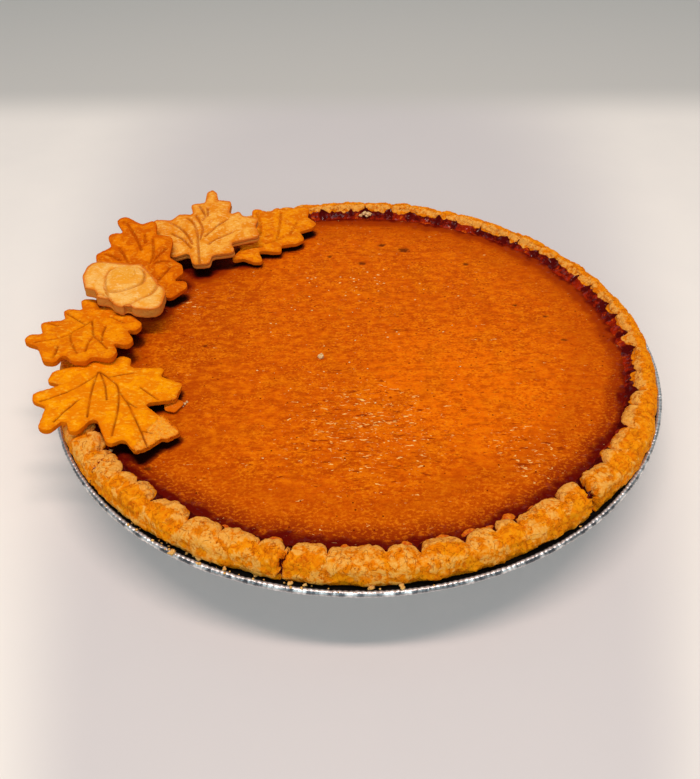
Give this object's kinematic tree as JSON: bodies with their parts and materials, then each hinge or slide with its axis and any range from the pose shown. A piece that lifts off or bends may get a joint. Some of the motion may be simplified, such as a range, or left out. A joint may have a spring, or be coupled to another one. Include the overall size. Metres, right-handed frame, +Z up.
{
  "type": "pumpkin pie",
  "caption": "Round pumpkin pie in its flared foil tin, with a fluted pastry rim and a garland of leaf and rose pastry cut-outs along one side.",
  "frame": {"origin": "centre of the tin's flat underside, on the surface that it stands on", "axes": "+Z up, square to the filling's surface; the pastry cut-outs lie along the -X side, from the front left round to the back left"},
  "size_m": [0.2595, 0.2498, 0.0502],
  "materials": {
    "foil": "bright thin foil, finely crimped at the rolled edge",
    "pastry": "crumbly shortcrust pastry, baked golden, browner on its high spots",
    "custard": "set pumpkin custard, satin, with a dark glossy band at its edge",
    "golden_pastry": "pressed pastry cut-out, glazed and baked orange-gold",
    "pale_pastry": "pressed pastry cut-out, pale tan with browned patches",
    "dark_pastry": "pressed pastry cut-out, baked deep orange"
  },
  "bodies": {
    "root": {"pie_tin": "foil", "crust": "pastry", "filling": "custard", "maple_leaf_front": "golden_pastry", "oak_leaf": "golden_pastry", "rose_cookie": "pale_pastry", "maple_leaf_left": "dark_pastry", "maple_leaf_back": "pale_pastry", "maple_leaf_right": "golden_pastry", "leaf_crumb": "golden_pastry"}
  },
  "joints": []
}
